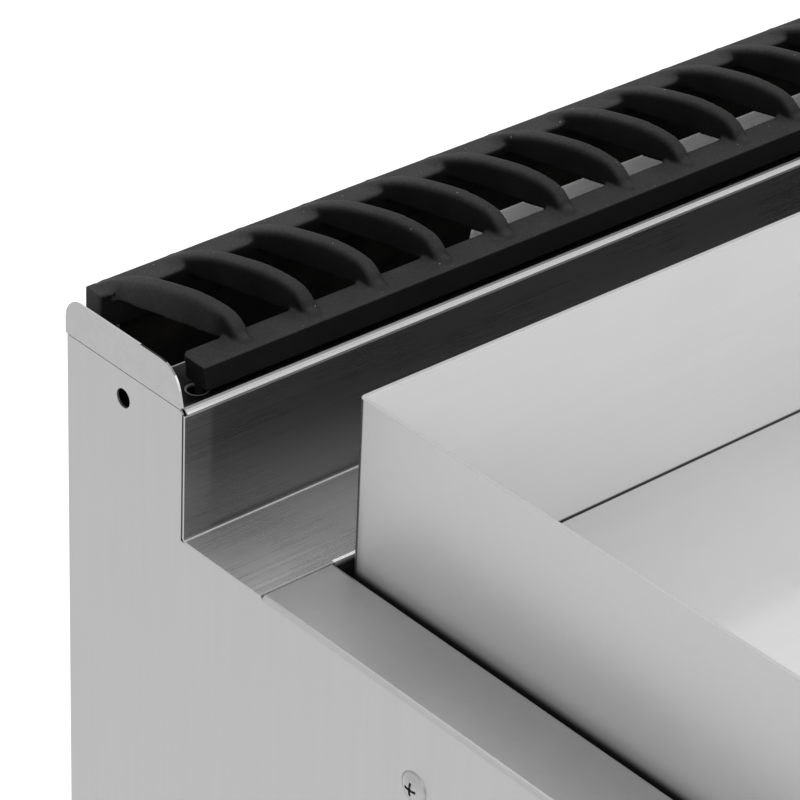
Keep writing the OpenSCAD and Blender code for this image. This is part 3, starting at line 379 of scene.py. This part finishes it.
def flue_black():
    """The inside of the flue, near black with faint brown patches."""
    black, brown, patches = 0.004, (0.018, 0.016, 0.014), (0.35, 0.7)
    shader = Shader("flue_black", colour=0.02, metallic=0.0, rough=0.85)
    cloud = shader.noise([28, 28, 40], detail=5, rough=0.65)
    shader.set("Base Color", shader.blend(shader.ramp(cloud, patches), black, brown))
    shader.set("Specular IOR Level", 0.2)
    shader.bump(cloud, strength=0.3, depth=0.3 * mm)
    return shader.material


def cast_iron():
    """Matt black casting: fine grain and a few pale specks on its tops, with painted light and
    shade: the tops, the end faces and the rear are painted lighter than the shaded sides.
    """
    # Painted light and shade: the sides are painted darkest, and the end faces behind the front
    # bar, the tops and the rear are painted lighter.
    side, end_side, rear_end_side, top, rear_top, pale_speck = 0.006, 0.018, 0.034, 0.026, 0.038, 0.16
    upward, outward, specked = (0.15, 0.85), (0.3, 0.7), (0.76, 0.8)
    rear = rear_y - 50 * mm, rear_y - 10 * mm
    ends, behind_bar = (half_w - 46 * mm, half_w - 44 * mm), (rear_y - 62 * mm, rear_y - 55 * mm)
    shader = Shader("cast_iron", side, metallic=0.0, rough=0.62)
    grain = shader.noise(900, detail=6, rough=0.7)
    cloud = shader.noise(60, detail=4)
    speck = shader.ramp(shader.noise(430, detail=1), specked)
    tone = shader.total(shader.spread(grain, -0.2, 0.2), shader.spread(cloud, 0.88, 1.15))
    back = shader.at("Y")
    at_rear, top_painted_shading = shader.ramp(back, rear), shader.ramp(shader.facing("Z"), upward)
    on_end = shader.both(shader.ramp(shader.from_middle(), ends),
                         shader.ramp(shader.facing_either("X"), outward))
    on_end = shader.both(on_end, shader.ramp(back, behind_bar))
    sides = shader.blend(on_end, side, shader.blend(at_rear, end_side, rear_end_side))
    colour = shader.blend(top_painted_shading, sides, shader.blend(at_rear, top, rear_top))
    colour = shader.scaled(colour, tone)
    shader.set("Base Color", shader.blend(shader.both(speck, top_painted_shading), colour, pale_speck))
    shader.set("Roughness", shader.spread(cloud, 0.55, 0.7))
    shader.set("Specular IOR Level", 0.06)
    shader.bump(grain, strength=0.5, depth=0.12 * mm)
    return shader.material


def heat_steel():
    """Enamelled steel, darkened and dusty from heat."""
    dark, dusty, patches = 0.05, (0.12, 0.1, 0.09), (0.35, 0.7)
    shader = Shader("heat_steel", colour=0.08, metallic=0.3, rough=0.5)
    cloud = shader.noise(30, detail=5, rough=0.65)
    grain = shader.noise(700)
    shader.set("Base Color", shader.blend(shader.ramp(cloud, patches), dark, dusty))
    shader.set("Roughness", shader.spread(cloud, 0.4, 0.62))
    shader.bump(grain, strength=0.2, depth=0.05 * mm)
    return shader.material


def tinted_metal(name, colour, rough):
    """Machined brass or drawn copper, with fine turning marks and light tarnish."""
    dulled, tarnished, smoother, rougher = 0.55, (0.4, 0.75), 0.06, 0.1
    shader = Shader(name, colour, metallic=1.0, rough=rough)
    lines = shader.noise([60, 1500, 60], detail=2)
    cloud = shader.noise(45, detail=4)
    tarnish = tuple(channel * dulled for channel in colour)
    shader.set("Base Color", shader.blend(shader.ramp(cloud, tarnished), colour, tarnish))
    shader.set("Roughness", shader.spread(cloud, rough - smoother, rough + rougher))
    shader.bump(lines, strength=0.1, depth=0.03 * mm)
    return shader.material


def moulded(name, colour, rough):
    """Fine-textured moulded plastic, rubber or ceramic."""
    mottle, smoother, rougher = 0.12, 0.05, 0.08
    shader = Shader(name, colour, metallic=0.0, rough=rough)
    spark = shader.noise(1300, detail=2)
    cloud = shader.noise(25)
    shader.set("Base Color", shader.scaled(colour, shader.spread(cloud, 1 - mottle, 1 + mottle)))
    shader.set("Roughness", shader.spread(cloud, rough - smoother, rough + rougher))
    shader.bump(spark, strength=0.25, depth=0.05 * mm)
    return shader.material


materials = {
    "satin_steel": satin_steel(),
    "inner_steel": brushed("inner_steel", colour=0.46, rough=0.42, metallic=0.85,
                           grain="X", contrast=0.04, smudge=0.08).material,
    "flue_steel": flue_steel(),
    "flue_black": flue_black(),
    "heat_steel": heat_steel(),
    "plate_steel": brushed("plate_steel", colour=0.65, rough=0.15, metallic=0.75,
                           grain="X", contrast=0.008, smudge=0.02).material,
    "bright_steel": brushed("bright_steel", colour=0.62, rough=0.32, metallic=0.85,
                            grain="X", contrast=0.03, smudge=0.04).material,
    "guard_steel": guard_steel(),
    "deflector_steel": deflector_steel(),
    "screw_steel": screw_steel(),
    "spring_steel": tinted_metal("spring_steel", (0.62, 0.62, 0.62), rough=0.25),
    "cast_iron": cast_iron(),
    "brass": tinted_metal("brass", (0.62, 0.43, 0.16), rough=0.32),
    "copper": tinted_metal("copper", (0.62, 0.3, 0.17), rough=0.28),
    "black_plastic": moulded("black_plastic", (0.02, 0.02, 0.02), rough=0.42),
    "lead_rubber": moulded("lead_rubber", (0.025, 0.025, 0.025), rough=0.6),
    "ceramic": moulded("ceramic", (0.7, 0.67, 0.6), rough=0.25),
    "dial_white": moulded("dial_white", (0.75, 0.75, 0.74), rough=0.4),
    "dial_black": moulded("dial_black", (0.03, 0.03, 0.03), rough=0.5),
}
own_finish = {
    "splash_guard": "guard_steel",
    "flue_deflector": "deflector_steel",
    "flue_duct": "flue_black",
    "side_screws": "screw_steel",
}

for sub_part in frame["record"]["subparts"]:
    name = sub_part["node"]
    mesh = nodes[name].data
    mesh.materials.clear()
    mesh.materials.append(materials[own_finish.get(name, sub_part["material_slot"])])


# Mesh tools
AHEAD, BESIDE, UP = Vector((1, 0, 0)), Vector((0, 1, 0)), Vector((0, 0, 1))


def new_piece(name, mesh, body, material):
    piece = bpy.data.objects.new(name, mesh)
    bpy.context.scene.collection.objects.link(piece)
    mesh.materials.append(materials[material])
    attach(piece, body)
    return piece


def loft(solid, rings):
    """Adds a closed solid through rings that have as many points each."""
    loops = [[solid.verts.new(point) for point in ring] for ring in rings]
    count = len(loops[0])
    for here, beyond in zip(loops, loops[1:]):
        for i in range(count):
            j = (i + 1) % count
            solid.faces.new((here[i], here[j], beyond[j], beyond[i]))
    solid.faces.new(loops[0][::-1])
    solid.faces.new(loops[-1])


def finish_mesh(name, solid):
    bmesh.ops.recalc_face_normals(solid, faces=solid.faces)
    mesh = bpy.data.meshes.new(name)
    solid.to_mesh(mesh)
    solid.free()
    return mesh


def settle(piece):
    """Applies a piece's modifiers to its mesh."""
    graph = bpy.context.evaluated_depsgraph_get()
    mesh = bpy.data.meshes.new_from_object(piece.evaluated_get(graph))
    old = piece.data
    piece.modifiers.clear()
    piece.data = mesh
    mesh.name = old.name + "_settled"
    bpy.data.meshes.remove(old)


def soften(width, segments, names):
    """Rounds the sharp edges of CAD nodes."""
    weld_gap, sharp = 0.01 * mm, math.radians(35)
    for name in names.split():
        node = nodes[name]
        weld = node.modifiers.new("weld", "WELD")
        weld.merge_threshold = weld_gap
        bevel = node.modifiers.new("edges", "BEVEL")
        bevel.width = width
        bevel.segments = segments
        bevel.limit_method = "ANGLE"
        bevel.angle_limit = sharp
        bevel.use_clamp_overlap = True
        bevel.harden_normals = True


# Flue grille, in distances from the sides, the rear edge and the shelf
grille_in = 9.4 * mm
front_bar_in = 12 * mm
front_bar_draft = 2 * mm
front_bar_chamfer = 2.3 * mm
bar_low = shelf_z + 2.5 * mm
front_bar_y = rear_y - 61.3 * mm
front_bar_w = 15.6 * mm
front_bar_top = shelf_z + 14.8 * mm
rear_bar_y = rear_y - 0.3 * mm
rear_bar_w = 13.5 * mm
rear_bar_top = shelf_z + 19.8 * mm
end_taper = 15 * mm
end_slope_l = 60 * mm
end_w = 9.5 * mm
end_drop = 0.8 * mm

# Its ribs: the ridge rises from the rear bar to a crown and falls to the toe
first_rib = 38.7 * mm
rib_pitch = 36.8 * mm
rib_slope = 0.38
rib_bend = 61.3 * mm
rib_bend_half = 3 * mm
rib_half = 4 * mm
rib_low = 13.3 * mm
rib_front_low = rib_low - 1 * mm
rib_rear_low = 16.5 * mm
ridge_h = 28.7 * mm
ridge_start = 18.3 * mm
rib_reach = 70.2 * mm
crown = rib_reach * 0.556
rise_power = 2.6
rib_steps = 40
crest_share = 0.68
shoulder_h = 2.5 * mm

# The fillets between the ribs and the rear bar
fillet_start = 3 * mm
fillet_w = 6 * mm
fillet_low = rear_bar_top - 1.5 * mm
fillet_left_end = grille_in + 1 * mm - half_w
fillet_slope = 1.3
fillet_steps = 9

# Its toes, pads and pegs; the dome is given by angles up from its foot
round_sides = 12
toe_r = 3.9 * mm
toe_back = 70.5 * mm
toe_top = 17.7 * mm
toe_dome = 0.5, 1.0, 1.4
foot_top = 5 * mm
pad_r = 4 * mm
rear_pad_in = 8 * mm
front_pad_in = 17 * mm
peg_r = 2.2 * mm
peg_l = 8 * mm
peg_offset = 1.5 * mm

# How the casting is grown together and rounded
voxel = 0.9 * mm
smooth_share = 0.5
smooth_rounds = 4


def ridge_height(reach):
    """The height of a rib's ridge above the shelf, behind its crown."""
    return ridge_h - (ridge_h - ridge_start) * ((crown - reach) / crown) ** rise_power


def ridge_point(step):
    """A point of a rib's ridge: its distance from the rear edge and its height over the shelf."""
    half = rib_steps // 2
    if step < half:
        reach = crown * step / half
        return reach, ridge_height(reach)
    angle = math.pi / 2 * (step - half) / half
    reach = crown + (rib_reach - crown) * math.sin(angle)
    return reach, rib_low + (ridge_h - rib_low) * math.cos(angle)


def rib_way(reach):
    """How far a rib lies to the left of its toe at a distance from the rear edge, and its slope."""
    before = rib_bend + rib_bend_half - reach
    if before <= 0:
        return 0, 0
    full = 2 * rib_bend_half
    if before < full:
        return rib_slope * before * before / full / 2, rib_slope * before / full
    return rib_slope * (rib_bend - reach), rib_slope


def round_post(solid, foot, levels):
    """An upright round solid, through levels of height above its foot and radius."""
    turns = [2 * math.pi * i / round_sides for i in range(round_sides)]
    loft(solid, [[foot + Vector((0, 0, height))
                  + radius * (math.cos(turn) * AHEAD + math.sin(turn) * BESIDE) for turn in turns]
                 for height, radius in levels])


def add_web(solid, x):
    """One hooped rib, slanted from the rear bar to the front bar."""
    sections = []
    for i in range(rib_steps + 1):
        reach, height = ridge_point(i)
        left, slope = rib_way(reach)
        across = Vector((1, slope, 0)).normalized()
        side = across * rib_half
        crest = side * crest_share
        bottom = rib_rear_low + (rib_front_low - rib_rear_low) * reach / rib_reach
        shoulder = height - min(shoulder_h, (height - bottom) / 2)
        foot = Vector((x - left, rear_y - reach, shelf_z))
        low, middle, high = (foot + level * UP for level in (bottom, shoulder, height))
        sections.append([low - side, low + side, middle + side,
                         high + crest, high - crest, middle - side])
    loft(solid, sections)


def add_fillet(solid, x):
    """The wedge of iron that runs from a rib's left side onto the rear bar."""
    sections = []
    for i in range(fillet_steps + 1):
        reach = fillet_start + (rear_bar_w - fillet_start) * i / fillet_steps
        y, middle = rear_y - reach, x - rib_way(reach)[0]
        face = middle - rib_half * crest_share
        outer = max(face - fillet_w, fillet_left_end)
        top = min(shelf_z + ridge_height(reach), rear_bar_top + (rear_bar_w - reach) * fillet_slope)
        sections.append([(outer, y, fillet_low), (middle, y, fillet_low),
                         (middle, y, top), (face, y, top)])
    loft(solid, sections)


def add_toe(solid, x):
    """The round upright toe at a rib's front end, with a domed top."""
    levels = [(rib_low, toe_r), (toe_top - toe_r, toe_r)]
    levels += [(toe_top - toe_r * (1 - math.sin(a)), toe_r * math.cos(a)) for a in toe_dome]
    round_post(solid, Vector((x, rear_y - toe_back, shelf_z)), levels)


def add_front_bar(solid):
    """The bar in front, with chamfered rear corners and a little draft at its ends."""
    x, back = half_w - front_bar_in, front_bar_y
    front = back - front_bar_w
    stations = (
        (-x, front_bar_draft, front_bar_chamfer),
        (front_bar_chamfer - x, 0, 0),
        (x - front_bar_chamfer, 0, 0),
        (x, -front_bar_draft, front_bar_chamfer),
    )
    loft(solid, [[(x + lean, front, bar_low), (x + lean, back - off, bar_low),
                  (x, back - off, front_bar_top), (x, front, front_bar_top)]
                 for x, lean, off in stations])


def add_rear_bar(solid):
    """The bar at the rear, narrower and a little lower towards its ends."""
    x = half_w - grille_in
    end_top = rear_bar_top - end_drop
    taper_top = end_top + end_drop * end_taper / end_slope_l
    half_stations = (
        (x, end_w, end_top),
        (x - end_taper, rear_bar_w, taper_top),
        (x - end_slope_l, rear_bar_w, rear_bar_top),
    )
    stations = [(-x, width, top) for x, width, top in half_stations] + list(half_stations[::-1])
    loft(solid, [[(x, rear_bar_y - width, bar_low), (x, rear_bar_y, bar_low),
                  (x, rear_bar_y, top), (x, rear_bar_y - width, top)]
                 for x, width, top in stations])


def build_grille():
    """The casting: bars, ribs, toes, pads and pegs, grown together and rounded as cast iron is."""
    solid = bmesh.new()
    add_front_bar(solid)
    add_rear_bar(solid)
    rib_count = 1 + int((2 * half_w - 2 * first_rib + rib_bend * rib_slope) / rib_pitch)
    for i in range(rib_count):
        x = first_rib + i * rib_pitch - half_w
        add_web(solid, x)
        add_fillet(solid, x)
        add_toe(solid, x)
    feet = (
        (half_w - grille_in - rear_pad_in, rear_bar_y - end_w / 2, 0, pad_r),
        (half_w - grille_in - front_pad_in, front_bar_y - front_bar_w / 2, 0, pad_r),
        (half_w - (peg_in + peg_offset), rear_y - peg_back, -peg_l, peg_r),
    )
    for side in (-1, 1):
        for x, y, low, radius in feet:
            round_post(solid, Vector((side * x, y, shelf_z)), [(low, radius), (foot_top, radius)])
    mesh = finish_mesh("cast_grille", solid)
    piece = new_piece("cast_grille", mesh, "grille", "cast_iron")
    remesh = piece.modifiers.new("grow", "REMESH")
    remesh.mode = "VOXEL"
    remesh.voxel_size = voxel
    remesh.use_smooth_shade = True
    smooth = piece.modifiers.new("round", "SMOOTH")
    smooth.factor = smooth_share
    smooth.iterations = smooth_rounds
    settle(piece)
    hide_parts("flue_grille")


build_grille()


# Rounded edges of the CAD nodes: width and segments for thin sheet, small fittings, thick parts,
# and for leaves, knobs and feet
for width, segments, names in (
    (0.25 * mm, 2, "left_side_panel right_side_panel base_panel rear_cover flue_top front_worktop "
                   "control_panel heat_shield drawer_runners supply_tubes grease_trough "
                   "splash_guard"),
    (0.45 * mm, 2, "knob_bezels plate_bearers burner_rails igniter_nut injectors side_screws"),
    (0.8 * mm, 3, "griddle_plate hinge_brackets leg_sockets left_gas_valve right_gas_valve "
                  "gas_manifold inlet_fitting grease_drawer drawer_handle left_door_handle "
                  "right_door_handle igniter_button igniter_body left_burner right_burner"),
    (1.4 * mm, 4, "left_door right_door left_knob right_knob door_catches front_left_foot "
                  "front_right_foot rear_left_foot rear_right_foot"),
):
    soften(width, segments, names)


# Dial marks round the knobs, and the pointer on each knob
mark_t = 0.2 * mm
dial_low_r = 37.5 * mm
dial_high_r = 39 * mm
dial_peak = 4.5 * mm
dial_start = math.radians(30)
dial_turn = math.radians(210)
dial_steps = 42
tick_gap = 1.5 * mm
tick_l = 4 * mm
tick_w = 1.2 * mm
tick_count = 7
zero_half = math.radians(3)
grip_r = 24 * mm
pointer_in = 2 * mm
pointer_l = 17 * mm
pointer_w = 2.2 * mm


def plaque(solid, outline, y):
    """Adds a thin raised plate whose outline lies in X and Z, standing towards the front."""
    loft(solid, [[(x, y, z) for x, z in outline], [(x, y - mark_t, z) for x, z in outline]])


def polar(middle, radius, turn):
    """A point of a dial, turned clockwise from the top."""
    return middle[0] + radius * math.sin(turn), middle[1] + radius * math.cos(turn)


def tick(middle, radius, turn, half):
    """The outline of a short mark that points outward and spans a half angle to each side."""
    outer = radius + tick_l
    return [polar(middle, radius, turn - half), polar(middle, radius, turn + half),
            polar(middle, outer, turn + half), polar(middle, outer, turn - half)]


def build_marks(side, middle):
    """A wedge that widens as the flame grows, its ticks, and the mark for off."""
    marks = bmesh.new()
    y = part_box("knob_bezels")[1].y
    rise = dial_peak - dial_high_r + dial_low_r
    shares = [i / dial_steps for i in range(dial_steps + 1)]
    inner = [polar(middle, dial_low_r, dial_start + dial_turn * i) for i in shares]
    outer = [polar(middle, dial_high_r + rise * i, dial_start + dial_turn * i) for i in shares]
    for i in range(dial_steps):
        plaque(marks, [inner[i], inner[i + 1], outer[i + 1], outer[i]], y)
    reach = dial_low_r + dial_peak + tick_gap
    for i in range(tick_count):
        turn = dial_start + dial_turn * i / (tick_count - 1)
        plaque(marks, tick(middle, reach, turn, tick_w / 2 / reach), y)
    plaque(marks, tick(middle, dial_low_r, 0, zero_half), y)
    mesh = finish_mesh("dial", marks)
    new_piece(side + "_dial_marks", mesh, "station", "dial_black")


def build_pointer(side, middle, y):
    """The pale line on the knob's grip."""
    pointer = bmesh.new()
    half, grip_top = pointer_w / 2, middle[1] + grip_r
    low, high = grip_top - pointer_l, grip_top - pointer_in
    plaque(pointer, [(middle[0] - half, low), (middle[0] + half, low),
                     (middle[0] + half, high), (middle[0] - half, high)], y)
    mesh = finish_mesh("pointer", pointer)
    new_piece(side + "_pointer", mesh, side + "_control", "dial_white")


for side in ("left", "right"):
    knob_low, knob_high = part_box(side + "_knob")
    knob_middle = ((knob_low.x + knob_high.x) / 2, (knob_low.z + knob_high.z) / 2)
    build_marks(side, knob_middle)
    build_pointer(side, knob_middle, knob_low.y)


# Floor and light
def background_rays(tree):
    """One for rays that a lens, a gloss or a glass sends to the background, else zero."""
    path = tree.nodes.new("ShaderNodeLightPath")
    value = path.outputs["Is Camera Ray"]
    for name in ("Is Glossy Ray", "Is Transmission Ray"):
        node = tree.nodes.new("ShaderNodeMath")
        node.operation = "MAXIMUM"
        tree.links.new(value, node.inputs[0])
        tree.links.new(path.outputs[name], node.inputs[1])
        value = node.outputs[0]
    return value


def build_floor():
    """A pale floor that keeps the object's shadow and looks white where it is lit."""
    radius, sides, pale, matt, lift, cells = 6, 96, 0.9, 0.8, 0.3, 3
    shader = Shader("floor_white", pale, metallic=0.0, rough=matt)
    cloud = shader.spread(shader.noise(cells), 0.99, 1.01)
    shader.set("Base Color", shader.scaled(pale, cloud))
    shader.set("Emission Color", grey(1))
    shader.set("Emission Strength", shader.both(background_rays(shader.tree), lift))
    disc = bmesh.new()
    bmesh.ops.create_circle(disc, cap_ends=True, radius=radius, segments=sides)
    mesh = bpy.data.meshes.new("floor")
    disc.to_mesh(mesh)
    disc.free()
    floor = bpy.data.objects.new("floor", mesh)
    bpy.context.scene.collection.objects.link(floor)
    mesh.materials.append(shader.material)


def build_world():
    """Even studio light, and a white background wherever a ray sees past the object."""
    soft_level, white_level = 0.75, 1.0
    world = bpy.data.worlds.new("studio")
    bpy.context.scene.world = world
    world.use_nodes = True
    tree = world.node_tree
    tree.nodes.clear()
    mix = tree.nodes.new("ShaderNodeMixShader")
    output = tree.nodes.new("ShaderNodeOutputWorld")
    tree.links.new(background_rays(tree), mix.inputs[0])
    for level, socket in ((soft_level, mix.inputs[1]), (white_level, mix.inputs[2])):
        shade = tree.nodes.new("ShaderNodeBackground")
        shade.inputs["Color"].default_value = grey(1)
        shade.inputs["Strength"].default_value = level
        tree.links.new(shade.outputs[0], socket)
    tree.links.new(mix.outputs[0], output.inputs[0])


def lamp(name, place, target, size, watts):
    data = bpy.data.lights.new(name, "AREA")
    data.shape = "RECTANGLE"
    data.size, data.size_y = size
    data.energy = watts
    light = bpy.data.objects.new(name, data)
    light.location = place
    light.rotation_euler = (Vector(target) - Vector(place)).to_track_quat("-Z", "Y").to_euler()
    bpy.context.scene.collection.objects.link(light)


build_floor()
build_world()
lamp("key", place=(-2.2, -1.2, 2.6), target=(0, 0, 0.8), size=(1.6, 1.6), watts=25)
lamp("top", place=(0.4, 0.6, 3.0), target=(0, 0.1, 0.85), size=(2.0, 1.4), watts=20)


# Camera
def build_camera():
    """The calibrated camera: it looks down at the rear left corner, rolled a little."""
    turn, tilt = math.radians(-CAMERA_AZIMUTH), math.radians(CAMERA_ELEVATION)
    roll = math.radians(CAMERA_ROLL)
    ahead = Vector((math.sin(turn) * math.cos(tilt), math.cos(turn) * math.cos(tilt),
                    -math.sin(tilt)))
    level = ahead.cross(UP).normalized()
    above = level.cross(ahead)
    right = level * math.cos(roll) + above * math.sin(roll)
    up = above * math.cos(roll) - level * math.sin(roll)
    data = bpy.data.cameras.new("camera")
    data.lens = CAMERA_LENS
    data.sensor_width = CAMERA_SENSOR
    data.clip_start, data.clip_end = CAMERA_CLIP
    camera = bpy.data.objects.new("camera", data)
    facing = Matrix((right, up, -ahead)).transposed()
    camera.matrix_world = Matrix.Translation(CAMERA_PLACE) @ facing.to_4x4()
    bpy.context.scene.collection.objects.link(camera)
    bpy.context.scene.camera = camera


build_camera()
bpy.context.scene.view_settings.view_transform = "Standard"
